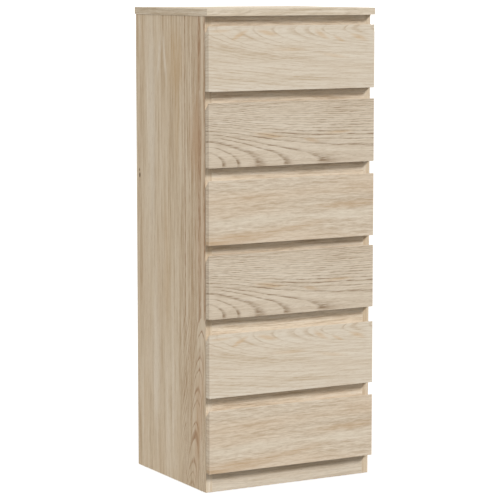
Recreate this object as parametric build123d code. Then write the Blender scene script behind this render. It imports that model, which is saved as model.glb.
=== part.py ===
from build123d import *
import os

# A tall chest of six handle-less drawers on roller runners, built from flat boards.
# Millimetres. X runs to the right, Y to the back, Z up; the drawers face -Y.
# The origin is on the floor, at the middle of the overall width and depth.

# Overall size and board thicknesses
OVERALL_WIDTH = 480.0
OVERALL_DEPTH = 400.0
OVERALL_HEIGHT = 1200.0
BOARD = 18.0  # carcass boards and drawer fronts
BOX_BOARD = 12.0  # sides and backs of the drawer boxes
HARDBOARD = 3.0  # drawer bases and the back panel

# How the carcass sits inside the overall size
TOP_SIDE_OVERHANG = 3.0
TOP_REAR_OVERHANG = 1.0
TOP_FRONT_SETBACK = 2.0  # the top's front edge stands this far behind the drawer faces
BUFFER_GAP = 1.5  # between the drawer fronts and the carcass
GLIDE_HEIGHT = 1.5
BASE_Z = 48.0  # underside of the base panel
GROOVE_PLAY = 0.2  # how much wider a groove is than the hardboard in it
BACK_FROM_REAR = 10.0
BACK_GROOVE = 8.0
BACK_IN_GROOVE = 7.5

# Drawer fronts, from the top down: the height of each lower edge above the floor
FRONT_BOTTOMS = (999.0, 812.5, 622.5, 439.0, 242.0, 51.5)
FRONT_HEIGHT = 159.0
BEVEL_LAND = 1.5  # flat left on the top edge, in front of the finger bevel

# Rails between the side panels, one above each drawer opening
RAIL_HEIGHT = 60.0
RAIL_BELOW_FRONT_TOP = 20.0

# Drawer boxes
BOX_ABOVE_FRONT_BOTTOM = 28.0
BOX_HEIGHT = 105.0
BOX_LENGTH = 350.0
BASE_ABOVE_BOX_BOTTOM = 10.0
BASE_GROOVE = 5.5
BASE_IN_GROOVE = 5.0
DRAWER_TRAVEL = 265.0

# Roller runners, bent from steel strip
RUNNER_SPACE = 12.5  # between a drawer side and a side panel
STEEL = 1.2
RUNNER_SETBACK = 2.0
CHANNEL_FLANGE = 10.5
CHANNEL_TOP_FLANGE = 9.5
CHANNEL_LIP = 3.3
FLANGE_HEADROOM = 1.0
DRAWER_LEG = 10.5
DRAWER_WEB_HEIGHT = 13.2
DRAWER_FLANGE = 9.8
ROLLER_RADIUS = 10.0
ROLLER_WIDTH = 8.0
ROLLER_PLAY = 0.3  # between a roller and the steel that it rolls on
ROLLER_SIDE_PLAY = 1.0
ROLLER_FROM_END = 11.0
ROLLER_HUB_RADIUS = 5.0
ROLLER_DISH = 1.2  # depth of the dished ring round a roller's hub
ROLLER_RIM = 1.6
PIN_RADIUS = 2.0
PIN_PLAY = 0.05
PIN_HEAD_RADIUS = 3.2
PIN_HEAD = 0.5
PIN_HEAD_PLAY = 0.1
STOP_HEIGHT = 4.0
STOP_WIDTH = 6.0
STOP_PLAY = 0.5

# Knock-down fittings
CAM_RADIUS = 7.4
CAM_DEPTH = 12.5
CAM_BORE_RADIUS = 7.5
CAM_BORE_DEPTH = 13.0
CAM_FROM_EDGE = 34.0
CAM_POCKET_RADIUS = 3.8
CAM_POCKET_BACK = 2.0  # how far the pocket reaches behind the cam's middle
CAM_SLOT_WIDTH = 1.6
CAM_SLOT_LENGTH = 10.0
CAM_SLOT_DEPTH = 1.5
BOLT_RADIUS = 3.0
BOLT_BORE_RADIUS = 3.5
BOLT_HEAD_BACK = 1.0
THREAD_RADIUS = 2.4
THREAD_BORE_RADIUS = 2.5
THREAD_LENGTH = 11.0
THREAD_BORE_DEPTH = 11.5
DOWEL_RADIUS = 3.95
DOWEL_BORE_RADIUS = 4.0
DOWEL_IN_END = 20.0
DOWEL_IN_FACE = 10.0
DOWEL_CHAMFER = 0.5
BORE_END_PLAY = 0.5
TOP_CAM_Y = (-130.0, 130.0)
TOP_DOWEL_Y = (-65.0, 65.0)
BASE_CAM_Y = (-120.0, 140.0)
BASE_DOWEL_Y = (-60.0, 70.0)
RAIL_DOWEL_BELOW_CAM = 15.0
PLINTH_CAM_Z = 24.0
PLINTH_DOWEL_Z = 56.0
GLIDE_RADIUS = 8.0
GLIDE_CHAMFER = 0.4
GLIDE_PIN_RADIUS = 1.0
GLIDE_PIN_BORE_RADIUS = 1.1
GLIDE_PIN_LENGTH = 14.0
GLIDE_Y = (-150.0, 165.0)
BRACKET_HOLE_RADIUS = 1.5
BRACKET_HOLE_DEPTH = 15.0
BRACKET_HOLE_SPACING = 120.0

# Places worked out from the sizes above
DRAWER_FACE_Y = -OVERALL_DEPTH / 2
FRONT_REAR_Y = DRAWER_FACE_Y + BOARD
CARCASS_FRONT_Y = FRONT_REAR_Y + BUFFER_GAP
CARCASS_REAR_Y = OVERALL_DEPTH / 2 - TOP_REAR_OVERHANG
RAIL_REAR_Y = CARCASS_FRONT_Y + BOARD
CARCASS_HALF = OVERALL_WIDTH / 2 - TOP_SIDE_OVERHANG
INNER_HALF = CARCASS_HALF - BOARD
SIDE_MIDDLE = CARCASS_HALF - BOARD / 2
TOP_UNDERSIDE_Z = OVERALL_HEIGHT - BOARD
PLINTH_TOP_Z = BASE_Z + BOARD
BACK_REAR_Y = CARCASS_REAR_Y - BACK_FROM_REAR
BACK_FRONT_Y = BACK_REAR_Y - HARDBOARD
BASE_REAR_Y = BACK_FRONT_Y - GROOVE_PLAY
BOX_HALF = INNER_HALF - RUNNER_SPACE
BOX_INNER_HALF = BOX_HALF - BOX_BOARD
BOX_REAR_Y = FRONT_REAR_Y + BOX_LENGTH
BOX_BACK_FRONT_Y = BOX_REAR_Y - BOX_BOARD
DRAWER_WEB_HALF = BOX_HALF + STEEL
ROLLER_OUTER_HALF = INNER_HALF - STEEL - ROLLER_SIDE_PLAY
ROLLER_INNER_HALF = ROLLER_OUTER_HALF - ROLLER_WIDTH
CABINET_RUNNER_FRONT_Y = CARCASS_FRONT_Y + RUNNER_SETBACK
CABINET_RUNNER_REAR_Y = CABINET_RUNNER_FRONT_Y + BOX_LENGTH
DRAWER_RUNNER_FRONT_Y = FRONT_REAR_Y + RUNNER_SETBACK
CABINET_ROLLER_Y = CABINET_RUNNER_FRONT_Y + ROLLER_FROM_END
DRAWER_ROLLER_Y = BOX_REAR_Y - ROLLER_FROM_END
# Heights above the underside of the drawer box
FLANGE_UNDERSIDE = DRAWER_WEB_HEIGHT - STEEL
ROLLER_CENTRE = FLANGE_UNDERSIDE - ROLLER_PLAY - ROLLER_RADIUS
CHANNEL_FLOOR = ROLLER_CENTRE - ROLLER_RADIUS - ROLLER_PLAY
CHANNEL_CEILING = DRAWER_WEB_HEIGHT + FLANGE_HEADROOM

SIDES = (-1, 1)


def block(x, y, z):
    """A rectangular block between the two values given for each axis, in either order."""
    low = [min(pair) for pair in (x, y, z)]
    high = [max(pair) for pair in (x, y, z)]
    size = [b - a for a, b in zip(low, high)]
    return Pos(*low) * Box(*size, align=(Align.MIN, Align.MIN, Align.MIN))


def rod(start, direction, radius, length):
    """A cylinder from a point, along a direction."""
    ends = (Align.CENTER, Align.CENTER, Align.MIN)
    return Plane(origin=start, z_dir=direction) * Cylinder(radius, length, align=ends)


def moved_along(point, direction, distance):
    return tuple(p + d * distance for p, d in zip(point, direction))


def rail_edges(front_bottom):
    """The lower and upper edge of the rail above one drawer front."""
    low = front_bottom + FRONT_HEIGHT - RAIL_BELOW_FRONT_TOP
    return low, min(low + RAIL_HEIGHT, TOP_UNDERSIDE_Z)


def cam_joints():
    """Each cam fitting, as the point on the board's face where the cam goes in, the
    direction into the board, and the direction along the bolt to the other board."""
    found = []
    for side in SIDES:
        cam_x = side * (INNER_HALF - CAM_FROM_EDGE)
        along = (side, 0, 0)
        for y in TOP_CAM_Y:
            face = (side * INNER_HALF, y, TOP_UNDERSIDE_Z - CAM_FROM_EDGE)
            found.append((face, along, (0, 0, 1)))
        for y in BASE_CAM_Y:
            found.append(((cam_x, y, BASE_Z), (0, 0, 1), along))
        for front_bottom in FRONT_BOTTOMS:
            middle = sum(rail_edges(front_bottom)) / 2
            found.append(((cam_x, RAIL_REAR_Y, middle), (0, -1, 0), along))
        found.append(((cam_x, RAIL_REAR_Y, PLINTH_CAM_Z), (0, -1, 0), along))
    return found


def dowel_joints():
    """Each dowel, as the point where it crosses the joint and the direction into the
    board that takes it in its face."""
    found = []
    for side in SIDES:
        out = (side, 0, 0)
        for y in TOP_DOWEL_Y:
            found.append(((side * SIDE_MIDDLE, y, TOP_UNDERSIDE_Z), (0, 0, 1)))
        for y in BASE_DOWEL_Y:
            found.append(((side * INNER_HALF, y, BASE_Z + BOARD / 2), out))
        rail_y = CARCASS_FRONT_Y + BOARD / 2
        for front_bottom in FRONT_BOTTOMS:
            middle = sum(rail_edges(front_bottom)) / 2
            found.append(((side * INNER_HALF, rail_y, middle - RAIL_DOWEL_BELOW_CAM), out))
        found.append(((side * INNER_HALF, rail_y, PLINTH_DOWEL_Z), out))
    return found


def bolt_start(face, inward):
    """The middle of the board's thickness, behind the point on its face."""
    return moved_along(face, inward, BOARD / 2)


def glide_points():
    return [(side * SIDE_MIDDLE, y, GLIDE_HEIGHT) for side in SIDES for y in GLIDE_Y]


def all_bores():
    """Every hole that is drilled for a fitting, whichever board it is in."""
    bores = []
    for face, inward, along in cam_joints():
        start = bolt_start(face, inward)
        edge = moved_along(start, along, CAM_FROM_EDGE)
        bores.append(rod(face, inward, CAM_BORE_RADIUS, CAM_BORE_DEPTH))
        bores.append(rod(start, along, BOLT_BORE_RADIUS, CAM_FROM_EDGE))
        bores.append(rod(edge, along, THREAD_BORE_RADIUS, THREAD_BORE_DEPTH))
    for point, into_face in dowel_joints():
        start = moved_along(point, into_face, -DOWEL_IN_END - BORE_END_PLAY)
        length = DOWEL_IN_END + DOWEL_IN_FACE + 2 * BORE_END_PLAY
        bores.append(rod(start, into_face, DOWEL_BORE_RADIUS, length))
    for point in glide_points():
        bores.append(rod(point, (0, 0, 1), GLIDE_PIN_BORE_RADIUS, GLIDE_PIN_LENGTH + BORE_END_PLAY))
    for side in SIDES:
        mouth = (side * BRACKET_HOLE_SPACING / 2, OVERALL_DEPTH / 2, OVERALL_HEIGHT - BOARD / 2)
        bores.append(rod(mouth, (0, -1, 0), BRACKET_HOLE_RADIUS, BRACKET_HOLE_DEPTH))
    return bores


def overlap_possible(a, b):
    a_box = a.bounding_box()
    b_box = b.bounding_box()
    low = zip(tuple(a_box.min), tuple(b_box.max))
    high = zip(tuple(a_box.max), tuple(b_box.min))
    return all(x < y for x, y in low) and all(x > y for x, y in high)


def drilled(board):
    """The board with the fitting holes that fall inside it."""
    for bore in BORES:
        if overlap_possible(board, bore):
            board = board - bore
    return board


def back_groove():
    """The groove that the back panel stands in, as one block through all the boards."""
    half = INNER_HALF + BACK_GROOVE
    y = (BACK_FRONT_Y - GROOVE_PLAY / 2, BACK_REAR_Y + GROOVE_PLAY / 2)
    return block((-half, half), y, (0, TOP_UNDERSIDE_Z + BACK_GROOVE))


def top_panel():
    half = OVERALL_WIDTH / 2
    y = (DRAWER_FACE_Y + TOP_FRONT_SETBACK, OVERALL_DEPTH / 2)
    return drilled(block((-half, half), y, (TOP_UNDERSIDE_Z, OVERALL_HEIGHT)) - back_groove())


def side_panel(side):
    x = (side * INNER_HALF, side * CARCASS_HALF)
    y = (CARCASS_FRONT_Y, CARCASS_REAR_Y)
    return drilled(block(x, y, (GLIDE_HEIGHT, TOP_UNDERSIDE_Z)) - back_groove())


def base_panel():
    z = (BASE_Z, BASE_Z + BOARD)
    return drilled(block((-INNER_HALF, INNER_HALF), (RAIL_REAR_Y, BASE_REAR_Y), z))


def plinth():
    y = (CARCASS_FRONT_Y, RAIL_REAR_Y)
    return drilled(block((-INNER_HALF, INNER_HALF), y, (GLIDE_HEIGHT, PLINTH_TOP_Z)))


def back_panel():
    half = INNER_HALF + BACK_IN_GROOVE
    z = (BASE_Z, TOP_UNDERSIDE_Z + BACK_IN_GROOVE)
    return block((-half, half), (BACK_FRONT_Y, BACK_REAR_Y), z)


def front_rail(front_bottom):
    y = (CARCASS_FRONT_Y, RAIL_REAR_Y)
    return drilled(block((-INNER_HALF, INNER_HALF), y, rail_edges(front_bottom)))


def cam_lock(face, inward, along):
    """A cam, with the pocket for the bolt's head and a cross slot to turn it by."""
    body = rod(face, inward, CAM_RADIUS, CAM_DEPTH)
    pocket_start = moved_along(bolt_start(face, inward), along, -CAM_POCKET_BACK)
    body -= rod(pocket_start, along, CAM_POCKET_RADIUS, CAM_FROM_EDGE)
    seat = Plane(origin=face, x_dir=along, z_dir=inward)
    middle = (Align.CENTER, Align.CENTER, Align.MIN)
    body -= seat * Box(CAM_SLOT_LENGTH, CAM_SLOT_WIDTH, CAM_SLOT_DEPTH, align=middle)
    return body - seat * Box(CAM_SLOT_WIDTH, CAM_SLOT_LENGTH, CAM_SLOT_DEPTH, align=middle)


def cam_bolt(face, inward, along):
    """A bolt from inside its cam to its thread in the other board."""
    start = moved_along(bolt_start(face, inward), along, -BOLT_HEAD_BACK)
    shaft = CAM_FROM_EDGE + BOLT_HEAD_BACK
    return rod(start, along, BOLT_RADIUS, shaft) + rod(start, along, THREAD_RADIUS, shaft + THREAD_LENGTH)


def dowel(point, into_face):
    start = moved_along(point, into_face, -DOWEL_IN_END)
    pin = rod(start, into_face, DOWEL_RADIUS, DOWEL_IN_END + DOWEL_IN_FACE)
    return chamfer(pin.edges().filter_by(GeomType.CIRCLE), DOWEL_CHAMFER)


def foot_glide(point):
    """A round plastic glide with a nail that goes up into the side panel."""
    floor_point = (point[0], point[1], 0)
    disc = rod(floor_point, (0, 0, 1), GLIDE_RADIUS, GLIDE_HEIGHT)
    disc = chamfer(disc.edges().group_by(Axis.Z)[0], GLIDE_CHAMFER)
    return disc + rod(floor_point, (0, 0, 1), GLIDE_PIN_RADIUS, GLIDE_HEIGHT + GLIDE_PIN_LENGTH)


def base_groove(box_bottom):
    """The groove round the inside of a drawer box that holds its base."""
    half = BOX_INNER_HALF + BASE_GROOVE
    low = box_bottom + BASE_ABOVE_BOX_BOTTOM
    y = (FRONT_REAR_Y - BASE_GROOVE, BOX_BACK_FRONT_Y + BASE_GROOVE)
    return block((-half, half), y, (low, low + HARDBOARD + GROOVE_PLAY))


def drawer_front(front_bottom):
    """A front board whose top edge falls away behind the face at 45 degrees."""
    top = front_bottom + FRONT_HEIGHT
    bevel_y = DRAWER_FACE_Y + BEVEL_LAND
    outline = Polyline(
        (DRAWER_FACE_Y, front_bottom),
        (DRAWER_FACE_Y, top),
        (bevel_y, top),
        (FRONT_REAR_Y, top - (FRONT_REAR_Y - bevel_y)),
        (FRONT_REAR_Y, front_bottom),
        close=True,
    )
    board = extrude(Plane.YZ * make_face(outline), CARCASS_HALF, both=True)
    return board - base_groove(front_bottom + BOX_ABOVE_FRONT_BOTTOM)


def drawer_side(side, box_bottom):
    x = (side * BOX_INNER_HALF, side * BOX_HALF)
    z = (box_bottom, box_bottom + BOX_HEIGHT)
    return block(x, (FRONT_REAR_Y, BOX_REAR_Y), z) - base_groove(box_bottom)


def drawer_back(box_bottom):
    x = (-BOX_INNER_HALF, BOX_INNER_HALF)
    z = (box_bottom, box_bottom + BOX_HEIGHT)
    return block(x, (BOX_BACK_FRONT_Y, BOX_REAR_Y), z) - base_groove(box_bottom)


def drawer_base(box_bottom):
    half = BOX_INNER_HALF + BASE_IN_GROOVE
    low = box_bottom + BASE_ABOVE_BOX_BOTTOM + GROOVE_PLAY / 2
    y = (FRONT_REAR_Y - BASE_IN_GROOVE, BOX_BACK_FRONT_Y + BASE_IN_GROOVE)
    return block((-half, half), y, (low, low + HARDBOARD))


def roller_pin(side, web_half, outward, y, z):
    """The riveted pin of a roller, with a head that keeps the roller on it."""
    direction = (side * outward, 0, 0)
    far_half = ROLLER_OUTER_HALF if outward > 0 else ROLLER_INNER_HALF
    length = abs(far_half - web_half) + PIN_HEAD_PLAY + PIN_HEAD
    shank = rod((side * web_half, y, z), direction, PIN_RADIUS, length)
    head_at = side * (far_half + outward * PIN_HEAD_PLAY)
    return shank + rod((head_at, y, z), direction, PIN_HEAD_RADIUS, PIN_HEAD)


def cabinet_runner(side, box_bottom):
    """The channel on a side panel, with its stop and the pin of its front roller."""
    floor = box_bottom + CHANNEL_FLOOR
    ceiling = box_bottom + CHANNEL_CEILING
    y = (CABINET_RUNNER_FRONT_Y, CABINET_RUNNER_REAR_Y)
    wall = side * INNER_HALF
    lip_outer = side * (INNER_HALF - CHANNEL_FLANGE)
    lip_inner = side * (INNER_HALF - CHANNEL_FLANGE - STEEL)
    top_edge = side * (INNER_HALF - CHANNEL_TOP_FLANGE)
    profile = block((wall, wall - side * STEEL), y, (floor - STEEL, ceiling + STEEL))
    profile += block((wall, lip_inner), y, (floor - STEEL, floor))
    profile += block((lip_outer, lip_inner), y, (floor - STEEL, floor - STEEL + CHANNEL_LIP))
    profile += block((wall, top_edge), y, (ceiling, ceiling + STEEL))
    stop_y = DRAWER_ROLLER_Y - ROLLER_RADIUS - DRAWER_TRAVEL - STOP_PLAY
    stop_x = side * (INNER_HALF - STEEL - STOP_WIDTH)
    profile += block((wall, stop_x), (stop_y - STEEL, stop_y), (floor - STEEL, floor + STOP_HEIGHT))
    pin_z = box_bottom + ROLLER_CENTRE
    return profile + roller_pin(side, INNER_HALF - STEEL, -1, CABINET_ROLLER_Y, pin_z)


def drawer_runner(side, box_bottom):
    """The angle under a drawer side, with the pin of its rear roller."""
    y = (DRAWER_RUNNER_FRONT_Y, BOX_REAR_Y)
    inner = side * (BOX_HALF - DRAWER_LEG)
    side_face = side * BOX_HALF
    web_face = side * DRAWER_WEB_HALF
    top = box_bottom + DRAWER_WEB_HEIGHT
    flange_y = (DRAWER_RUNNER_FRONT_Y, DRAWER_ROLLER_Y - ROLLER_RADIUS - ROLLER_SIDE_PLAY)
    profile = block((inner, web_face), y, (box_bottom - STEEL, box_bottom))
    profile += block((side_face, web_face), y, (box_bottom - STEEL, top))
    profile += block((side_face, side * (BOX_HALF + DRAWER_FLANGE)), flange_y, (top - STEEL, top))
    pin_z = box_bottom + ROLLER_CENTRE
    return profile + roller_pin(side, DRAWER_WEB_HALF, 1, DRAWER_ROLLER_Y, pin_z)


def roller(side, y, z):
    """A plastic roller on an axis along X, dished round its hub on both faces."""
    start = (side * ROLLER_INNER_HALF, y, z)
    out = (side, 0, 0)
    wheel = rod(start, out, ROLLER_RADIUS, ROLLER_WIDTH)
    for face_x in (ROLLER_INNER_HALF, ROLLER_OUTER_HALF - ROLLER_DISH):
        face = (side * face_x, y, z)
        dish = rod(face, out, ROLLER_RADIUS - ROLLER_RIM, ROLLER_DISH)
        wheel -= dish - rod(face, out, ROLLER_HUB_RADIUS, ROLLER_DISH)
    return wheel - rod(start, out, PIN_RADIUS + PIN_PLAY, ROLLER_WIDTH)


def write(name, *solids):
    """Write one node, of one solid or of a group of separate ones."""
    shape = solids[0] if len(solids) == 1 else Compound(children=list(solids))
    export_step(shape, f"parts/{name}.step")


def write_carcass():
    write("top_panel", top_panel())
    write("side_panel_left", side_panel(-1))
    write("side_panel_right", side_panel(1))
    write("base_panel", base_panel())
    write("plinth", plinth())
    write("back_panel", back_panel())
    write("front_rails", *[front_rail(front_bottom) for front_bottom in FRONT_BOTTOMS])
    write("cam_locks", *[cam_lock(*joint) for joint in cam_joints()])
    write("cam_bolts", *[cam_bolt(*joint) for joint in cam_joints()])
    write("dowels", *[dowel(*joint) for joint in dowel_joints()])
    write("foot_glides", *[foot_glide(point) for point in glide_points()])
    channels = []
    for front_bottom in FRONT_BOTTOMS:
        box_bottom = front_bottom + BOX_ABOVE_FRONT_BOTTOM
        channels += [cabinet_runner(side, box_bottom) for side in SIDES]
    write("cabinet_runners", *channels)


def write_drawer(number, front_bottom):
    box_bottom = front_bottom + BOX_ABOVE_FRONT_BOTTOM
    roller_z = box_bottom + ROLLER_CENTRE
    name = f"drawer_{number}"
    write(f"{name}_front", drawer_front(front_bottom))
    write(f"{name}_side_left", drawer_side(-1, box_bottom))
    write(f"{name}_side_right", drawer_side(1, box_bottom))
    write(f"{name}_back", drawer_back(box_bottom))
    write(f"{name}_base", drawer_base(box_bottom))
    write(f"{name}_runners", *[drawer_runner(side, box_bottom) for side in SIDES])
    write(f"{name}_rollers", *[roller(side, DRAWER_ROLLER_Y, roller_z) for side in SIDES])
    write(f"cabinet_rollers_{number}", *[roller(side, CABINET_ROLLER_Y, roller_z) for side in SIDES])


BORES = all_bores()
os.makedirs("parts", exist_ok=True)
write_carcass()
for number, front_bottom in enumerate(FRONT_BOTTOMS, start=1):
    write_drawer(number, front_bottom)
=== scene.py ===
import math

import bmesh
import bpy
from mathutils import Matrix, Vector


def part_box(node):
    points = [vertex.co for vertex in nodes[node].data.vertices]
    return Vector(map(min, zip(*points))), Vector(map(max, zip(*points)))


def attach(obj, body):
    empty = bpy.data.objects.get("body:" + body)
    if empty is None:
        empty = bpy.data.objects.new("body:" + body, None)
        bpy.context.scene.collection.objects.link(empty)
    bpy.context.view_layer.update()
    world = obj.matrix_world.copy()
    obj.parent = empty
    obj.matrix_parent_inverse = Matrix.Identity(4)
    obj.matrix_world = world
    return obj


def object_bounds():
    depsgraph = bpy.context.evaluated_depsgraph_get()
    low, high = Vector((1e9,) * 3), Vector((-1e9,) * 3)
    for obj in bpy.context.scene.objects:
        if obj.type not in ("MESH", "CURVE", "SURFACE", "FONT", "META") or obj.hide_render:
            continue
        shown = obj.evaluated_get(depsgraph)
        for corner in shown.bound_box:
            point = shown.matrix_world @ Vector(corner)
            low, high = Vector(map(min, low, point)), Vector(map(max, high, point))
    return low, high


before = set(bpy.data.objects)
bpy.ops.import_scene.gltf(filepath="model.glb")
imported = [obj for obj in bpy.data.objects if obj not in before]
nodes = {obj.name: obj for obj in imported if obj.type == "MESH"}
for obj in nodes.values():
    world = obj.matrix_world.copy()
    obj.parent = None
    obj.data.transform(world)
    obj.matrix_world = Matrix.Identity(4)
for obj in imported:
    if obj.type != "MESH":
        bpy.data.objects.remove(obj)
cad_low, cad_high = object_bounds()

# The looks of a tall chest of six drawers: materials and rounded edges on its boards, the small
# fittings that hold it together, a pale floor, the light and the camera. Metres throughout.
# X runs to the right, Y to the back and Z up; the drawers face -Y.

MM = 0.001
X, Y, Z = 0, 1, 2


def srgb(red, green, blue):
    """A colour given as 0 to 255 screen values, as the linear RGBA that a shader takes."""
    linear = []
    for value in (red, green, blue):
        share = value / 255
        linear.append(share / 12.92 if share <= 0.04045 else ((share + 0.055) / 1.055) ** 2.4)
    return (*linear, 1.0)


# ---------------------------------------------------------------- materials


class Shade:
    """One material and short calls that add nodes to it."""

    # The mix node's sockets for each kind of value: share, first, second, result
    MIX_SOCKETS = {"RGBA": (0, 6, 7, 2), "VECTOR": (0, 4, 5, 1)}

    def __init__(self, name):
        self.material = bpy.data.materials.new(name)
        self.material.use_nodes = True
        self.tree = self.material.node_tree
        self.tree.nodes.clear()
        self.shader = self.tree.nodes.new("ShaderNodeBsdfPrincipled")
        output = self.tree.nodes.new("ShaderNodeOutputMaterial")
        self.tree.links.new(self.shader.outputs[0], output.inputs[0])
        coordinates = self.tree.nodes.new("ShaderNodeTexCoord")
        self.place = coordinates.outputs["Object"]
        self.normal = coordinates.outputs["Normal"]

    def feed(self, socket, value):
        if isinstance(value, bpy.types.NodeSocket):
            self.tree.links.new(value, socket)
        else:
            socket.default_value = value

    def feed_all(self, sockets, values):
        for socket, value in zip(sockets, values):
            self.feed(socket, value)

    def set(self, **values):
        """Feed the shader's own sockets, named in lower case with _ for a space."""
        sockets = {socket.name.lower().replace(" ", "_"): socket for socket in self.shader.inputs}
        for name, value in values.items():
            self.feed(sockets[name], value)

    def math(self, operation, *values, clamp=False):
        node = self.tree.nodes.new("ShaderNodeMath")
        node.operation = operation
        node.use_clamp = clamp
        self.feed_all(node.inputs, values)
        return node.outputs[0]

    def vector(self, operation, *values):
        node = self.tree.nodes.new("ShaderNodeVectorMath")
        node.operation = operation
        self.feed_all(node.inputs, values)
        return node.outputs["Value" if operation == "LENGTH" else "Vector"]

    def split(self, vector):
        node = self.tree.nodes.new("ShaderNodeSeparateXYZ")
        self.feed(node.inputs[0], vector)
        return node.outputs

    def join(self, *values):
        node = self.tree.nodes.new("ShaderNodeCombineXYZ")
        self.feed_all(node.inputs, values)
        return node.outputs[0]

    def noise(self, vector, detail=2.0, roughness=0.5):
        node = self.tree.nodes.new("ShaderNodeTexNoise")
        self.feed(node.inputs["Vector"], vector)
        node.inputs["Scale"].default_value = 1.0
        node.inputs["Detail"].default_value = detail
        node.inputs["Roughness"].default_value = roughness
        return node.outputs[0]

    def object_noise(self, scale, detail=2.0, roughness=0.5):
        """Noise that changes about scale times in a metre, given for each axis."""
        return self.noise(self.vector("MULTIPLY", self.place, scale), detail, roughness)

    def line_noise(self, value):
        """Noise along a line."""
        node = self.tree.nodes.new("ShaderNodeTexNoise")
        node.noise_dimensions = "1D"
        self.feed(node.inputs["W"], value)
        node.inputs["Scale"].default_value = 1.0
        node.inputs["Detail"].default_value = 1.0
        return node.outputs[0]

    def remap(self, value, low, high, to_low=0.0, to_high=1.0, smooth=False):
        node = self.tree.nodes.new("ShaderNodeMapRange")
        node.interpolation_type = "SMOOTHSTEP" if smooth else "LINEAR"
        self.feed_all(node.inputs, (value, low, high, to_low, to_high))
        return node.outputs[0]

    def ramp(self, value, *stops):
        node = self.tree.nodes.new("ShaderNodeValToRGB")
        self.feed(node.inputs[0], value)
        elements = node.color_ramp.elements
        while len(elements) < len(stops):
            elements.new(0.5)
        for element, (position, colour) in zip(elements, stops):
            element.position = position
            element.color = colour
        return node.outputs[0]

    def mix(self, share, first, second, kind="RGBA"):
        """A mix of two colours or, with kind VECTOR, of two places."""
        node = self.tree.nodes.new("ShaderNodeMix")
        node.data_type = kind
        *inputs, result = self.MIX_SOCKETS[kind]
        self.feed_all([node.inputs[index] for index in inputs], (share, first, second))
        return node.outputs[result]

    def bump(self, height, depth, strength):
        """Tilt the normal by a height of 0 to 1 that stands for depth metres."""
        node = self.tree.nodes.new("ShaderNodeBump")
        node.inputs["Strength"].default_value = strength
        node.inputs["Distance"].default_value = depth
        self.feed(node.inputs["Height"], height)
        self.feed(self.shader.inputs["Normal"], node.outputs[0])


def edge_share(shade, low, high, width):
    """1 on the edges of a box-shaped board, falling to 0 at width metres from them."""
    gaps = []
    for value, start, end in zip(shade.split(shade.place), low, high):
        from_start = shade.math("SUBTRACT", value, start)
        from_end = shade.math("SUBTRACT", end, value)
        gaps.append(shade.math("ABSOLUTE", shade.math("MINIMUM", from_start, from_end)))
    # On an edge two of the three gaps are 0, so the middle one of the three tells.
    near = shade.math("MINIMUM", gaps[0], gaps[1])
    far = shade.math("MAXIMUM", gaps[0], gaps[1])
    middle = shade.math("MAXIMUM", near, shade.math("MINIMUM", far, gaps[2]))
    return shade.remap(middle, 0.0, width, 1.0, 0.0, smooth=True)


# Light oak foil. Every board shows its own stretch of the print.
#
# Distances are in metres along the grain, across it and through the board, from the board's
# lowest corner. The growth rings are circles round a pith line. centre is the pith's height
# across the board and depth its distance behind the face; it dives by taper along the grain
# from start, toward the high (1) or low (-1) end, and levels out after about reach metres.
# That draws the arches of flat-sawn oak; a roundness under 2 makes them pointed. lean is how
# far centre moves for each metre along, and both lean and dive end at stop. flank makes arches
# with upright sides: their half width, the slope at the tip and the slope beyond the sides.
#
# ring is the distance between two ring lines at RING_AT from the pith, crowd how much closer
# they come further out and uneven how irregular they are; wander and wobble are the size of
# their long and short waves. quiet is where, across the board, the lines fade, and how much of
# them is left. steady is the least strength that a line keeps as it comes and goes. The shares
# say how strongly the lines, bands, streaks, dashes and warm areas show, and streak how often
# the streaks change in a metre, along and across. ends is how the bands on the board's two ends
# run: "wrapped" on round the corner, or "banded" along the edge. Each patch is a tinted area: its
# middle along and across, its half sizes, its slope, its strength and its colour.
OAK = dict(
    seed=0.0,
    light=srgb(214, 202, 182),
    middle=srgb(204, 190, 168),
    dark=srgb(172, 152, 124),
    line=srgb(150, 128, 100),
    warm=srgb(196, 168, 134),
    pith=dict(centre=0.08, depth=0.05, taper=0.1, reach=5.0, start=0.0, toward=1.0),
    ring=0.010,
    crowd=1.3,
    uneven=1.6,
    wander=0.010,
    wobble=0.0012,
    quiet=(0.0, 1.0, 1.0),
    steady=0.2,
    ring_share=0.4,
    band_share=0.4,
    streak_share=0.5,
    dash_share=0.1,
    warm_share=0.3,
    streak=(9.0, 210.0),
    ends=None,
    patches=(),
)
RING_AT = 0.05
STRAIGHT_AT = 0.20  # the place across the print whose grain is used on long edges
END_FACING = 0.7  # how squarely a face looks along the grain to be an end, corners included
EDGE_FACING = 0.8  # how squarely a face looks across the grain to be a long edge
NO_STOP = 10.0  # a stop that no board reaches

# The sides of a flank steepen with this power of the distance from the pith, up to this many
# half widths.
FLANK_POWER = 3.0
FLANK_END = 2.3

# The print's noises: how often each changes in a metre, along the grain and across it, and its
# own place in the noise, so that no two are alike.
SLOW_WAVES = (2.2, 9.0, 3.1)
QUICK_WAVES = (16.0, 55.0, 7.7)
LINE_FADES = (6.0, 45.0, 1.3)
DASHES = (38.0, 330.0, 4.4)
BANDS = (1.3, 38.0, 5.5)
PORES = (60.0, 900.0, 9.4)
WARM_AREAS = (1.6, 15.0, 11.0)
STREAKS_PLACE = 2.2

# A ring line rises to its darkest at LINE_PEAK of the way to the next, and is gone at LINE_GONE.
LINE_PEAK = 0.10
LINE_GONE = 0.45
PORE_SHARE = 0.30
# A painted highlight along every edge of an oak board: its width, its strength and its colour
EDGE_HIGHLIGHT_WIDTH = 1.2 * MM
EDGE_HIGHLIGHT_SHARE = 0.35
EDGE_HIGHLIGHT_COLOUR = srgb(226, 214, 195)
FOIL_ROUGHNESS = 0.66
FOIL_SHEEN = 0.12
FOIL_RELIEF = 0.12 * MM


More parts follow.
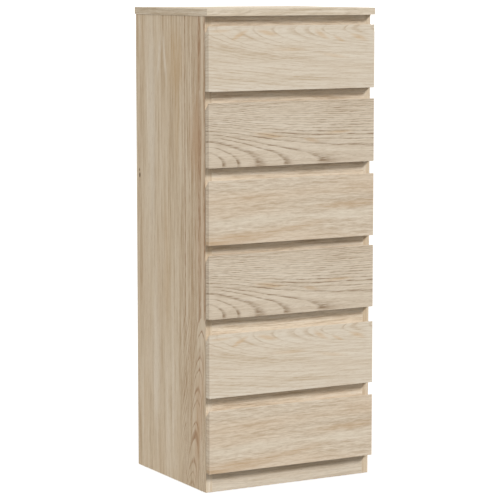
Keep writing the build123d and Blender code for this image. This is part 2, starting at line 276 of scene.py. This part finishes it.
def ring_radius(shade, pith, along, over, deep, shift):
    """The distance from the pith line, which the growth rings count off."""
    taper, reach = pith["taper"], pith["reach"]
    along = shade.math("MINIMUM", along, pith.get("stop", NO_STOP))
    run = shade.math("MULTIPLY", shade.math("SUBTRACT", along, pith["start"]), pith["toward"])
    left = shade.math("EXPONENT", shade.math("DIVIDE", shade.math("MAXIMUM", run, 0.0), -reach))
    dive = shade.math("MULTIPLY_ADD", left, -taper * reach, taper * reach + pith["depth"])
    dive = shade.math("MAXIMUM", shade.math("ADD", dive, deep), 0.0)
    sideways = shade.math("ADD", shade.math("SUBTRACT", over, pith["centre"]), shift)
    sideways = shade.math("MULTIPLY_ADD", along, -pith.get("lean", 0.0), sideways)
    sideways = shade.math("ABSOLUTE", sideways)
    if "flank" in pith:
        half_width, slope, outer_slope = pith["flank"]
        inner = shade.math("MINIMUM", sideways, FLANK_END * half_width)
        rise = shade.math("POWER", shade.math("DIVIDE", inner, half_width), FLANK_POWER)
        steep = shade.math("MULTIPLY", inner, slope)
        steep = shade.math("MULTIPLY", steep, shade.math("ADD", rise, 1.0))
        beyond = shade.math("SUBTRACT", sideways, inner)
        sideways = shade.math("MULTIPLY_ADD", beyond, outer_slope, steep)
    power = pith.get("roundness", 2.0)
    total = shade.math("ADD", shade.math("POWER", sideways, power), shade.math("POWER", dive, power))
    return shade.math("POWER", total, 1 / power)


def grain_places(shade, low, grain, across, ends):
    """The place on the print: along the grain, across it and into the board."""
    parts = shade.split(shade.vector("SUBTRACT", shade.place, tuple(low)))
    along, over, deep = parts[grain], parts[across], parts[3 - grain - across]
    grain_place = shade.join(along, over, deep)
    facing = shade.split(shade.normal)
    if ends:
        on_end = shade.math("GREATER_THAN", shade.math("ABSOLUTE", facing[grain]), END_FACING)
        wrapped = shade.join(shade.math("ADD", along, deep), over, 0.0)
        banded = shade.join(over, deep, along)
        end_place = wrapped if ends == "wrapped" else banded
        grain_place = shade.mix(on_end, grain_place, end_place, "VECTOR")
    # The long edges have a band of straight grain.
    on_edge = shade.math("GREATER_THAN", shade.math("ABSOLUTE", facing[across]), EDGE_FACING)
    straight = shade.join(along, shade.math("ADD", deep, STRAIGHT_AT), 0.0)
    return shade.mix(on_edge, grain_place, straight, "VECTOR")


def oak(node, grain, across, **look):
    """The oak foil for one board. grain and across are the axes along and across the print."""
    given = {**OAK, **look}
    seed = given["seed"]
    low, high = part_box(node)
    shade = Shade(f"oak_{node}")
    grain_place = grain_places(shade, low, grain, across, given["ends"])
    along, over, deep = shade.split(grain_place)

    def stretched(pattern, detail=2.0, roughness=0.5):
        per_along, per_over, place = pattern
        wide = shade.vector("MULTIPLY", grain_place, (per_along, per_over, per_over))
        moved = shade.vector("ADD", wide, (seed + place, seed * 1.7 - place, place * 0.6))
        return shade.noise(moved, detail, roughness)

    # Growth rings. The two noises swing by about 0.25 and 0.2 either way, so 4 and 5 times
    # them are waves of their full size.
    slow = shade.math("SUBTRACT", stretched(SLOW_WAVES, 1.0), 0.5)
    quick = shade.math("SUBTRACT", stretched(QUICK_WAVES, 2.0, 0.6), 0.5)
    shift = shade.math("MULTIPLY", slow, given["wander"] * 4)
    shift = shade.math("MULTIPLY_ADD", quick, given["wobble"] * 5, shift)
    radius = ring_radius(shade, given["pith"], along, over, deep, shift)
    scaled = shade.math("POWER", shade.math("DIVIDE", radius, RING_AT), given["crowd"])
    count = shade.math("MULTIPLY", scaled, RING_AT / given["crowd"] / given["ring"])
    unevenness = shade.line_noise(shade.math("MULTIPLY_ADD", count, 0.7, seed))
    count = shade.math("MULTIPLY_ADD", unevenness, given["uneven"], count)
    age = shade.math("FRACT", count)
    rise = shade.remap(age, 0.0, LINE_PEAK)
    fall = shade.remap(age, LINE_PEAK, LINE_GONE, 1.0, 0.0, smooth=True)
    fade = shade.remap(stretched(LINE_FADES, 1.0), 0.36, 0.62, given["steady"], 1.0)
    dashes = shade.remap(stretched(DASHES, 2.0, 0.6), 0.36, 0.64, 0.35, 1.15)
    line = shade.math("MULTIPLY", shade.math("MULTIPLY", rise, fall), fade)
    line = shade.math("MULTIPLY", line, dashes)
    first, last, rest = given["quiet"]
    line = shade.math("MULTIPLY", line, shade.remap(over, first, last, 1.0, rest, smooth=True))

    # Wide bands, fine streaks and pores. Noise keeps mostly between 0.3 and 0.7, and remap
    # stretches that range.
    bands = shade.remap(stretched(BANDS, 2.0, 0.55), 0.32, 0.68)
    streaks = shade.remap(stretched((*given["streak"], STREAKS_PLACE), 3.0, 0.75), 0.33, 0.67)
    pores = shade.remap(stretched(PORES, 1.0), 0.58, 0.70)

    band_share, streak_share, dash_share = given["band_share"], given["streak_share"], given["dash_share"]
    tone = shade.math("MULTIPLY_ADD", bands, band_share, shade.math("MULTIPLY", streaks, streak_share))
    tone = shade.math("MULTIPLY_ADD", dashes, dash_share, tone)
    tone = shade.math("DIVIDE", tone, band_share + streak_share + dash_share)
    colour = shade.ramp(tone, (0.08, given["light"]), (0.5, given["middle"]), (0.95, given["dark"]))
    warmth = shade.remap(stretched(WARM_AREAS), 0.45, 0.75, 0.0, given["warm_share"])
    colour = shade.mix(warmth, colour, given["warm"])
    for at_along, at_over, half_along, half_over, tilt, share, tint in given["patches"]:
        ahead = shade.math("SUBTRACT", along, at_along)
        waved = shade.math("MULTIPLY_ADD", quick, min(20 * MM, half_over), over)
        aside = shade.math("SUBTRACT", waved, at_over)
        aside = shade.math("MULTIPLY_ADD", ahead, -tilt, aside)
        ahead = shade.math("DIVIDE", ahead, half_along)
        aside = shade.math("DIVIDE", aside, half_over)
        out = shade.vector("LENGTH", shade.join(ahead, aside, 0.0))
        amount = shade.remap(out, 0.2, 1.0, share, 0.0, smooth=True)
        streaked = shade.remap(streaks, 0.0, 1.0, 0.4, 1.0)
        colour = shade.mix(shade.math("MULTIPLY", amount, streaked, clamp=True), colour, tint)
    drawn = shade.math("MULTIPLY", line, given["ring_share"], clamp=True)
    colour = shade.mix(drawn, colour, given["line"])
    colour = shade.mix(shade.math("MULTIPLY", pores, PORE_SHARE), colour, given["line"])
    # Painted highlight: the colour is lightened near every edge, as if the rounded edge band caught the
    # light.
    rim = edge_share(shade, low, high, EDGE_HIGHLIGHT_WIDTH)
    colour = shade.mix(shade.math("MULTIPLY", rim, EDGE_HIGHLIGHT_SHARE), colour, EDGE_HIGHLIGHT_COLOUR)

    relief = shade.math("MULTIPLY_ADD", pores, -0.6, shade.math("MULTIPLY", streaks, 0.25))
    relief = shade.math("MULTIPLY_ADD", line, -0.2, relief)
    shade.bump(relief, FOIL_RELIEF, 0.35)
    rough = shade.math("MULTIPLY_ADD", streaks, 0.10, FOIL_ROUGHNESS)
    rough = shade.math("MULTIPLY_ADD", rim, -0.06, rough)
    shade.set(base_color=colour, roughness=rough, specular_ior_level=FOIL_SHEEN)
    return shade.material


def plain_board(node, colour, dark, grain=(40, 40, 40), roughness=0.58, relief=0.05 * MM):
    """Foiled or pressed board without a figure: a soft mottle, fine grain and darker edges.
    grain is how often the mottle changes in a metre along X, Y and Z."""
    low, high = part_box(node)
    shade = Shade(f"plain_{node}")
    mottle = shade.object_noise(grain, 3.0, 0.6)
    fine = shade.object_noise(tuple(12 * scale for scale in grain), 2.0, 0.6)
    rim = edge_share(shade, low, high, 1.0 * MM)
    tone = shade.math("MULTIPLY_ADD", mottle, 0.6, shade.math("MULTIPLY", fine, 0.4))
    tone = shade.math("MULTIPLY_ADD", rim, 0.25, tone)
    shade.set(
        base_color=shade.ramp(tone, (0.35, colour), (0.75, dark)),
        roughness=shade.math("MULTIPLY_ADD", fine, 0.12, roughness - 0.05),
        specular_ior_level=0.2,
    )
    shade.bump(fine, relief, 0.3)
    return shade.material


def hardware(name, colour, dark, roughness, metallic=0.0, grain=300.0):
    """Coated steel, nylon or zinc: a fine orange peel, slight stains and varied gloss."""
    shade = Shade(name)
    fine = shade.object_noise((grain, grain, grain), 2.0, 0.6)
    stains = shade.object_noise((18, 18, 18), 3.0, 0.6)
    shade.set(
        base_color=shade.ramp(stains, (0.3, colour), (0.8, dark)),
        roughness=shade.math("MULTIPLY_ADD", fine, 0.16, roughness - 0.08),
        metallic=metallic,
    )
    shade.bump(fine, 0.03 * MM, 0.4)
    return shade.material


def soft_plastic():
    """The clear soft plastic of the buffers."""
    shade = Shade("soft_plastic")
    fine = shade.object_noise((700, 700, 700))
    shade.set(
        base_color=shade.ramp(fine, (0.2, srgb(225, 224, 218)), (0.8, srgb(205, 203, 196))),
        roughness=shade.math("MULTIPLY_ADD", fine, 0.15, 0.30),
        transmission_weight=0.4,
        ior=1.45,
    )
    shade.bump(fine, 0.02 * MM, 0.3)
    return shade.material


# ---------------------------------------------------------------- the modelled boards and parts


def dress(node, material):
    mesh = nodes[node].data
    for index in range(len(mesh.materials)):
        mesh.materials[index] = material


def soften(node, width=0.5 * MM):
    """Round the sharp edges of a board a little, as its edge band is."""
    board = nodes[node]
    weld = board.modifiers.new("weld", "WELD")
    weld.merge_threshold = 0.005 * MM
    bevel = board.modifiers.new("edges", "BEVEL")
    bevel.width = width
    bevel.segments = 2
    bevel.limit_method = "ANGLE"
    bevel.angle_limit = math.radians(30)


# The three prints of the drawer fronts, each used on two drawers, from the top one down
TAN, BROWN, CREAM = srgb(200, 164, 118), srgb(182, 150, 112), srgb(222, 211, 192)
FLAME_PRINT = dict(
    seed=4.0,
    pith=dict(centre=0.150, depth=0.010, taper=0.15, reach=5.0, start=0.55, toward=-1.0, roundness=1.7),
    ring=0.0068, crowd=1.0, wander=0.006, wobble=0.0012, ring_share=0.54, steady=0.40,
    band_share=0.25, streak_share=0.6, dash_share=0.05, warm_share=0.15, ends="wrapped",
    light=srgb(221, 211, 194), middle=srgb(216, 204, 186), dark=srgb(203, 188, 166),
    line=srgb(174, 146, 110),
    patches=(
        (0.030, 0.146, 0.045, 0.006, 0.0, 0.45, TAN),
        (0.086, 0.136, 0.030, 0.009, 0.5, 0.60, TAN),
        (0.165, 0.141, 0.040, 0.008, -0.2, 0.65, TAN),
        (0.320, 0.134, 0.030, 0.010, -0.5, 0.60, TAN),
        (0.370, 0.124, 0.024, 0.007, -0.4, 0.50, TAN),
        (0.428, 0.128, 0.035, 0.009, -0.3, 0.50, TAN),
        (0.225, 0.100, 0.070, 0.006, 0.0, 0.35, TAN),
        (0.355, 0.083, 0.060, 0.006, -0.1, 0.40, TAN),
    ),
)
ARCH_PRINT = dict(
    seed=12.0,
    pith=dict(centre=0.008, depth=0.020, taper=0.48, reach=0.13, start=0.0, toward=1.0, roundness=2.2),
    ring=0.0125, crowd=2.1, uneven=0.5, wander=0.0025, wobble=0.0016, ring_share=0.95, steady=0.55,
    band_share=0.25, streak_share=0.6, dash_share=0.3, warm_share=0.1, ends="wrapped",
    light=srgb(220, 208, 190), middle=srgb(211, 197, 177), dark=srgb(191, 174, 152),
    line=srgb(140, 117, 92),
    patches=(
        (0.170, 0.076, 0.060, 0.008, -0.10, 0.45, TAN),
        (0.372, 0.078, 0.060, 0.006, 0.0, 0.45, TAN),
        (0.290, 0.060, 0.030, 0.009, -0.25, 0.60, BROWN),
    ),
)
STRAIGHT_PRINT = dict(
    seed=21.0,
    pith=dict(centre=-0.15, depth=0.03, taper=0.03, reach=5.0, start=0.0, toward=1.0),
    ring=0.0085, crowd=1.0, wander=0.012, wobble=0.0012, ring_share=0.25, steady=0.1,
    band_share=0.40, streak_share=0.6, dash_share=0.7, warm_share=0.45, ends="wrapped",
    light=srgb(225, 215, 199), middle=srgb(215, 201, 181), dark=srgb(188, 169, 145),
    line=srgb(160, 134, 104), warm=srgb(211, 186, 157),
    patches=(
        (0.390, 0.084, 0.150, 0.014, 0.02, 0.60, BROWN),
        (0.060, 0.012, 0.200, 0.022, 0.10, 0.75, BROWN),
        (0.250, 0.034, 0.110, 0.012, 0.12, 0.45, BROWN),
        (0.140, 0.112, 0.090, 0.010, 0.0, 0.35, BROWN),
        (0.120, 0.056, 0.200, 0.016, 0.02, 0.70, CREAM),
        (0.380, 0.060, 0.140, 0.014, 0.02, 0.70, CREAM),
    ),
)
PRINTS = (FLAME_PRINT, ARCH_PRINT, STRAIGHT_PRINT, ARCH_PRINT, FLAME_PRINT, STRAIGHT_PRINT)
DRAWERS = range(1, len(PRINTS) + 1)

# The side panels: tall narrow arches low down by the front edge, long streaks, and a small knot
SIDE_TAN, SIDE_RED, SIDE_PALE = srgb(202, 174, 137), srgb(194, 159, 126), srgb(238, 229, 214)
KNOT = (
    (0.7665, 0.3610, 0.009, 0.006, 0.0, 1.6, srgb(84, 60, 40)),
    (0.7800, 0.3640, 0.006, 0.004, 0.0, 1.2, srgb(120, 92, 66)),
)
SIDE_PRINT = dict(
    pith=dict(centre=0.075, lean=-0.135, stop=0.438, flank=(0.0235, 0.27, 1.2), depth=0.0,
              taper=0.31, reach=5.0, start=-0.02, toward=1.0, roundness=1.0),
    ring=0.0135, crowd=1.0, wander=0.0015, wobble=0.0009, ring_share=1.0, steady=0.6,
    quiet=(0.105, 0.150, 0.0), streak=(5.0, 110.0),
    band_share=0.5, streak_share=0.9, dash_share=0.2, warm_share=0.25,
    light=srgb(228, 214, 194), middle=srgb(215, 198, 173), dark=srgb(187, 164, 135),
    line=srgb(162, 126, 95),
    patches=(
        (1.070, 0.160, 0.120, 0.065, 0.0, 0.75, SIDE_TAN),
        (0.930, 0.150, 0.200, 0.030, 0.0, 0.45, SIDE_TAN),
        (0.880, 0.046, 0.160, 0.052, 0.02, 0.70, SIDE_RED),
        (0.640, 0.026, 0.200, 0.040, 0.0, 0.45, SIDE_RED),
        (1.080, 0.030, 0.120, 0.026, 0.0, 0.45, SIDE_RED),
        (0.190, 0.036, 0.230, 0.030, -0.11, 0.60, SIDE_RED),
        (0.900, 0.290, 0.400, 0.030, 0.0, 0.60, SIDE_PALE),
        (1.075, 0.248, 0.085, 0.012, -0.18, 0.55, SIDE_PALE),
        (1.075, 0.218, 0.085, 0.010, 0.16, 0.55, SIDE_PALE),
        (0.300, 0.270, 0.300, 0.035, 0.0, 0.45, SIDE_PALE),
        (0.550, 0.205, 0.250, 0.028, 0.0, 0.45, SIDE_TAN),
        (0.150, 0.330, 0.250, 0.020, 0.0, 0.40, SIDE_TAN),
    ),
)

# The other carcass boards show nearly straight grain, each at its own distance from the pith.
FLAT_PRINT = dict(
    ring_share=0.3, wander=0.014, warm_share=0.2, ends="banded",
    light=srgb(224, 214, 197), middle=srgb(214, 201, 182), dark=srgb(186, 168, 143),
)
TOP_COLOURS = dict(light=srgb(231, 221, 203), middle=srgb(222, 209, 189), dark=srgb(194, 176, 150))
RAIL_COLOURS = dict(light=srgb(242, 231, 214), middle=srgb(226, 210, 187), dark=srgb(166, 139, 108))


def dress_flat(node, across, seed, centre, **colours):
    """Give a board that runs from side to side its stretch of straight grain."""
    pith = dict(OAK["pith"], centre=centre)
    dress(node, oak(node, X, across, **{**FLAT_PRINT, "seed": seed, "pith": pith, **colours}))
    soften(node)


def dress_boards():
    for number, look in zip(DRAWERS, PRINTS):
        front = f"drawer_{number}_front"
        dress(front, oak(front, X, Z, **look))
        soften(front)
    left, right = "side_panel_left", "side_panel_right"
    with_knot = dict(SIDE_PRINT, patches=SIDE_PRINT["patches"] + KNOT)
    dress(left, oak(left, Z, Y, seed=33.0, **with_knot))
    dress(right, oak(right, Z, Y, seed=38.0, **SIDE_PRINT))
    soften(left)
    soften(right)
    dress_flat("top_panel", Y, seed=41.0, centre=0.22, **TOP_COLOURS)
    dress_flat("plinth", Z, seed=46.0, centre=-0.1)
    dress_flat("front_rails", Z, seed=52.0, centre=-0.3, **RAIL_COLOURS)
    dress_flat("base_panel", Y, seed=58.0, centre=0.2)


def dress_boxes():
    foil = dict(colour=srgb(206, 203, 196), dark=srgb(190, 186, 178))
    pale_hardboard = dict(colour=srgb(196, 190, 178), dark=srgb(178, 170, 156))
    brown_hardboard = dict(colour=srgb(192, 168, 136), dark=srgb(166, 140, 108))
    grain_along = {"side_left": (60, 8, 60), "side_right": (60, 8, 60), "back": (8, 60, 60)}
    for number in DRAWERS:
        for part, grain in grain_along.items():
            board = f"drawer_{number}_{part}"
            dress(board, plain_board(board, grain=grain, **foil))
            soften(board, 0.4 * MM)
        base = f"drawer_{number}_base"
        dress(base, plain_board(base, **pale_hardboard))
    rough_back = dict(grain=(90, 90, 90), roughness=0.7, relief=0.2 * MM)
    dress("back_panel", plain_board("back_panel", **brown_hardboard, **rough_back))


def dress_hardware():
    """Dress the runners, rollers and fittings. Nylon and zinc are also for the added pieces."""
    coated = hardware("coated_steel", srgb(214, 214, 210), srgb(198, 198, 192), 0.35)
    nylon = hardware("nylon", srgb(222, 222, 216), srgb(205, 205, 198), 0.42, grain=600.0)
    zinc = hardware("zinc", srgb(170, 170, 168), srgb(130, 130, 128), 0.42, metallic=0.9, grain=900.0)
    glide = hardware("glide_plastic", srgb(190, 184, 170), srgb(170, 164, 150), 0.5)
    dress("cabinet_runners", coated)
    for number in DRAWERS:
        dress(f"drawer_{number}_runners", coated)
        dress(f"drawer_{number}_rollers", nylon)
        dress(f"cabinet_rollers_{number}", nylon)
    dress("cam_locks", zinc)
    dress("cam_bolts", zinc)
    dress("foot_glides", glide)
    beech = dict(colour=srgb(196, 160, 120), dark=srgb(170, 132, 92), grain=(200, 200, 200))
    dress("dowels", plain_board("dowels", **beech))
    return nylon, zinc


# ---------------------------------------------------------------- small fittings


def turned(builder, profile, segments=32):
    """Add a shell turned round the Z axis from (radius, height) points, closed below and open
    above, and give back its rings."""
    angles = [2 * math.pi * step / segments for step in range(segments)]
    rings = []
    for radius, height in profile:
        ring = [builder.verts.new((radius * math.cos(a), radius * math.sin(a), height)) for a in angles]
        rings.append(ring)
    for lower, upper in zip(rings, rings[1:]):
        for step in range(segments):
            after = (step + 1) % segments
            builder.faces.new((lower[step], lower[after], upper[after], upper[step]))
    builder.faces.new(rings[0][::-1])
    return rings


def cross_corners(arm, width):
    """The twelve corners of a cross, from the middle to the end of an arm and its width."""
    half = width / 2
    corners = []
    for turns in range(4):
        for x, y in ((arm, -half), (arm, half), (half, half)):
            for _ in range(turns):
                x, y = -y, x
            corners.append((x, y))
    return corners


def cross_headed(builder, profile, arm, width, depth, taper=0.75):
    """A turned head whose flat top has a cross recess, narrower at the bottom by taper."""
    rim = turned(builder, profile)[-1]
    top = profile[-1][1]
    corners = cross_corners(arm, width)
    mouth = [builder.verts.new((x, y, top)) for x, y in corners]
    bottom = [builder.verts.new((taper * x, taper * y, top - depth)) for x, y in corners]
    borders = []
    for loop in (rim, mouth):
        for pair in zip(loop, loop[1:] + loop[:1]):
            borders.append(builder.edges.get(pair) or builder.edges.new(pair))
    bmesh.ops.triangle_fill(builder, edges=borders, use_beauty=True)
    for step in range(len(mouth)):
        after = (step + 1) % len(mouth)
        builder.faces.new((mouth[step], mouth[after], bottom[after], bottom[step]))
    builder.faces.new(bottom)


def domed(builder, radius, height, flat=0.55, rim=0.45):
    """A shallow dome with a straight rim. flat is the flat share of its radius and rim the
    rim's share of its height."""
    profile = [(radius, 0.0)]
    for degrees in (0, 25, 50, 72):
        angle = math.radians(degrees)
        out = flat + (1 - flat) * math.cos(angle)
        up = rim + (1 - rim) * math.sin(angle)
        profile.append((radius * out, height * up))
    builder.faces.new(turned(builder, profile)[-1])


def screw_head(builder):
    radius, height = 3.2 * MM, 0.45 * MM
    profile = (
        (radius, 0.0),
        (radius, 0.35 * height),
        (0.94 * radius, 0.8 * height),
        (0.86 * radius, height),
    )
    cross_headed(builder, profile, arm=0.55 * radius, width=0.26 * radius, depth=0.7 * height)


def cam_cover(builder):
    radius, height = 7.5 * MM, 0.6 * MM
    profile = ((radius, 0.0), (radius, 0.5 * height), (0.95 * radius, height))
    cross_headed(builder, profile, arm=0.45 * radius, width=0.16 * radius, depth=0.7 * height)


def buffer(builder):
    domed(builder, 4.5 * MM, 1.3 * MM)


def nail_head(builder):
    domed(builder, 1.8 * MM, 0.6 * MM)


def place_pieces(name, make, places, material, body):
    """One object with a copy of a piece at each place: a point and the way it faces."""
    builder = bmesh.new()
    for point, facing in places:
        before = set(builder.verts)
        make(builder)
        added = [vert for vert in builder.verts if vert not in before]
        turn = Vector(facing).to_track_quat("Z", "Y").to_matrix().to_4x4()
        bmesh.ops.transform(builder, matrix=Matrix.Translation(point) @ turn, verts=added)
    bmesh.ops.recalc_face_normals(builder, faces=builder.faces)
    mesh = bpy.data.meshes.new(name)
    builder.to_mesh(mesh)
    builder.free()
    mesh.polygons.foreach_set("use_smooth", [True] * len(mesh.polygons))
    mesh.set_sharp_from_angle(angle=math.radians(28))
    mesh.materials.append(material)
    piece = bpy.data.objects.new(name, mesh)
    bpy.context.scene.collection.objects.link(piece)
    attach(piece, body)
    return piece


SIDES = (-1, 1)
STEEL = 1.2 * MM  # the strip that the runners are bent from
# Screws through the cabinet runners, and those up through the drawer runners
RUNNER_SCREW_Y = (-141.5 * MM, -13.5 * MM, 114.5 * MM)
RUNNER_SCREW_ABOVE_BOX = 9.5 * MM
DRAWER_SCREW_FORWARD = 8 * MM
DRAWER_SCREW_INSET = 6 * MM
# Confirmats through the box sides into its back, and cam covers inside, at the same heights
JOINT_HEIGHTS = (32 * MM, 78 * MM)
CAM_BEHIND_FRONT = 24 * MM
# Buffers on the back of each drawer front
BUFFER_HEIGHTS = (20 * MM, 125 * MM)
BUFFER_INSET = 9 * MM
# Nails that hold the back panel to the edge of the base panel
NAIL_COUNT = 7
NAIL_INSET = 30 * MM


def drawer_fittings(number, nylon, zinc, clear):
    """The screws, covers and buffers that travel with one drawer."""
    body = f"drawer_{number}"
    front_low, front_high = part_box(f"{body}_front")
    side_low, side_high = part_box(f"{body}_side_right")
    back_low, back_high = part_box(f"{body}_back")
    back_middle = (back_low[Y] + back_high[Y]) / 2
    screws, confirmats, covers, buffers = [], [], [], []
    for side in SIDES:
        screw_x = side * (side_high[X] - DRAWER_SCREW_INSET)
        for y in RUNNER_SCREW_Y:
            screws.append(((screw_x, y - DRAWER_SCREW_FORWARD, side_low[Z] - STEEL), (0, 0, -1)))
        for height in JOINT_HEIGHTS:
            z = side_low[Z] + height
            confirmats.append(((side * side_high[X], back_middle, z), (side, 0, 0)))
            covers.append(((side * side_low[X], front_high[Y] + CAM_BEHIND_FRONT, z), (-side, 0, 0)))
        for height in BUFFER_HEIGHTS:
            buffer_x = side * (front_high[X] - BUFFER_INSET)
            buffers.append(((buffer_x, front_high[Y], front_low[Z] + height), (0, 1, 0)))
    return [
        place_pieces(f"{body}_runner_screws", screw_head, screws, zinc, body),
        place_pieces(f"{body}_confirmats", screw_head, confirmats, zinc, body),
        place_pieces(f"{body}_cam_covers", cam_cover, covers, nylon, body),
        place_pieces(f"{body}_buffers", buffer, buffers, clear, body),
    ]


def carcass_fittings(zinc):
    """The screws of the cabinet runners and the nails of the back panel."""
    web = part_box("side_panel_right")[0][X] - STEEL
    screws = []
    for number in DRAWERS:
        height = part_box(f"drawer_{number}_side_right")[0][Z] + RUNNER_SCREW_ABOVE_BOX
        for side in SIDES:
            screws += [((side * web, y, height), (-side, 0, 0)) for y in RUNNER_SCREW_Y]
    back_low, back_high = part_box("back_panel")
    base_low, base_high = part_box("base_panel")
    height = (base_low[Z] + base_high[Z]) / 2
    first = back_low[X] + NAIL_INSET
    length = back_high[X] - back_low[X] - 2 * NAIL_INSET
    nails = []
    for step in range(NAIL_COUNT):
        x = first + length * step / (NAIL_COUNT - 1)
        nails.append(((x, back_high[Y], height), (0, 1, 0)))
    return [
        place_pieces("cabinet_runner_screws", screw_head, screws, zinc, "carcass"),
        place_pieces("back_nails", nail_head, nails, zinc, "carcass"),
    ]


def add_fittings(nylon, zinc):
    clear = soft_plastic()
    pieces = []
    for number in DRAWERS:
        pieces += drawer_fittings(number, nylon, zinc, clear)
    return pieces + carcass_fittings(zinc)


# ---------------------------------------------------------------- floor, light and camera

# Each sun by its angles in degrees: azimuth from the front of the chest to the right, height
# above the floor, and softness, the angle that it fills in the sky
KEY = dict(azimuth=49.0, height=34.0, softness=14.0, strength=3.16, colour=(0.975, 0.985, 1.0))
FILL = dict(azimuth=-92.0, height=20.0, softness=30.0, strength=1.03, colour=(1.0, 0.985, 0.96))
WORLD_STRENGTH = 0.52
WORLD_COLOUR = (1.0, 0.985, 0.955, 1.0)
FLOOR_GLOW = 0.80
FLOOR_REACH = 50.0
WALL_HEIGHT = 12.0


def add_stage(name, builder, material):
    mesh = bpy.data.meshes.new(name)
    builder.to_mesh(mesh)
    builder.free()
    mesh.materials.append(material)
    piece = bpy.data.objects.new(name, mesh)
    bpy.context.scene.collection.objects.link(piece)
    return piece


def pale_floor():
    shade = Shade("pale_floor")
    specks = shade.object_noise((30, 30, 30))
    shade.set(
        base_color=shade.ramp(specks, (0.0, srgb(209, 209, 209)), (1.0, srgb(213, 213, 213))),
        roughness=0.7,
        emission_color=(1.0, 1.0, 1.0, 1.0),
        emission_strength=FLOOR_GLOW,
    )
    return shade.material


def make_floor():
    """A pale floor, and far away a low wall of the same white, so that no horizon shows."""
    white = pale_floor()
    ground = bmesh.new()
    bmesh.ops.create_grid(ground, x_segments=8, y_segments=8, size=FLOOR_REACH)
    floor = add_stage("floor", ground, white)
    ring = bmesh.new()
    bmesh.ops.create_circle(ring, segments=64, radius=FLOOR_REACH)
    raised = bmesh.ops.extrude_edge_only(ring, edges=ring.edges[:])["geom"]
    raised = [vert for vert in raised if isinstance(vert, bmesh.types.BMVert)]
    bmesh.ops.translate(ring, vec=(0, 0, WALL_HEIGHT), verts=raised)
    backdrop = add_stage("backdrop", ring, white)
    # The wall is only there to be seen: it gives no light and casts no shadow.
    backdrop.visible_diffuse = False
    backdrop.visible_glossy = False
    backdrop.visible_transmission = False
    backdrop.visible_shadow = False
    return floor


def direction(azimuth, height):
    """The way to a point at an azimuth and height in degrees, seen from the chest."""
    turn, lift = math.radians(azimuth), math.radians(height)
    return Vector((math.sin(turn) * math.cos(lift), -math.cos(turn) * math.cos(lift), math.sin(lift)))


def add_sun(name, azimuth, height, softness, strength, colour):
    light = bpy.data.lights.new(name, "SUN")
    light.energy = strength
    light.angle = math.radians(softness)
    light.color = colour
    lamp = bpy.data.objects.new(name, light)
    bpy.context.scene.collection.objects.link(lamp)
    source = direction(azimuth, height)
    lamp.rotation_mode = "QUATERNION"
    lamp.rotation_quaternion = source.to_track_quat("Z", "Y")
    lamp.location = source * 5
    return lamp


def keep_off(source, objects):
    """Stop a light or a glowing object from lighting these objects."""
    unlit = bpy.data.collections.new(f"not lit by {source.name}")
    for lit in objects:
        unlit.objects.link(lit)
    for entry in unlit.collection_objects:
        entry.light_linking.link_state = "EXCLUDE"
    source.light_linking.receiver_collection = unlit


def make_light(floor, pieces):
    """A soft key from the right, a weak fill on the left side and white light all round. The
    floor glows by itself, so the suns leave it out, and it leaves out the chest."""
    key = add_sun("key", **KEY)
    fill = add_sun("fill", **FILL)
    keep_off(fill, [floor])
    keep_off(key, [floor])
    keep_off(floor, list(nodes.values()) + pieces)

    world = bpy.data.worlds.new("studio")
    bpy.context.scene.world = world
    world.use_nodes = True
    background = world.node_tree.nodes["Background"]
    background.inputs["Color"].default_value = WORLD_COLOUR
    background.inputs["Strength"].default_value = WORLD_STRENGTH


CAMERA_AZIMUTH = -29.08
CAMERA_HEIGHT = 7.05
CAMERA_DISTANCE = 5.6
CAMERA_AIM = Vector((-24, -23, -19)) * MM  # from the middle of the chest
CAMERA_LENS = 157.1  # millimetres, on a sensor 36 wide


def make_camera():
    aim = (cad_low + cad_high) / 2 + CAMERA_AIM
    back = direction(CAMERA_AZIMUTH, CAMERA_HEIGHT)
    data = bpy.data.cameras.new("camera")
    data.sensor_width = 36.0
    data.lens = CAMERA_LENS
    data.clip_end = 2000.0
    camera = bpy.data.objects.new("camera", data)
    bpy.context.scene.collection.objects.link(camera)
    camera.location = aim + back * CAMERA_DISTANCE
    camera.rotation_mode = "QUATERNION"
    camera.rotation_quaternion = back.to_track_quat("Z", "Y")
    bpy.context.scene.camera = camera


make_camera()
dress_boards()
dress_boxes()
nylon, zinc = dress_hardware()
pieces = add_fittings(nylon, zinc)
make_light(make_floor(), pieces)
bpy.context.scene.view_settings.view_transform = "Standard"
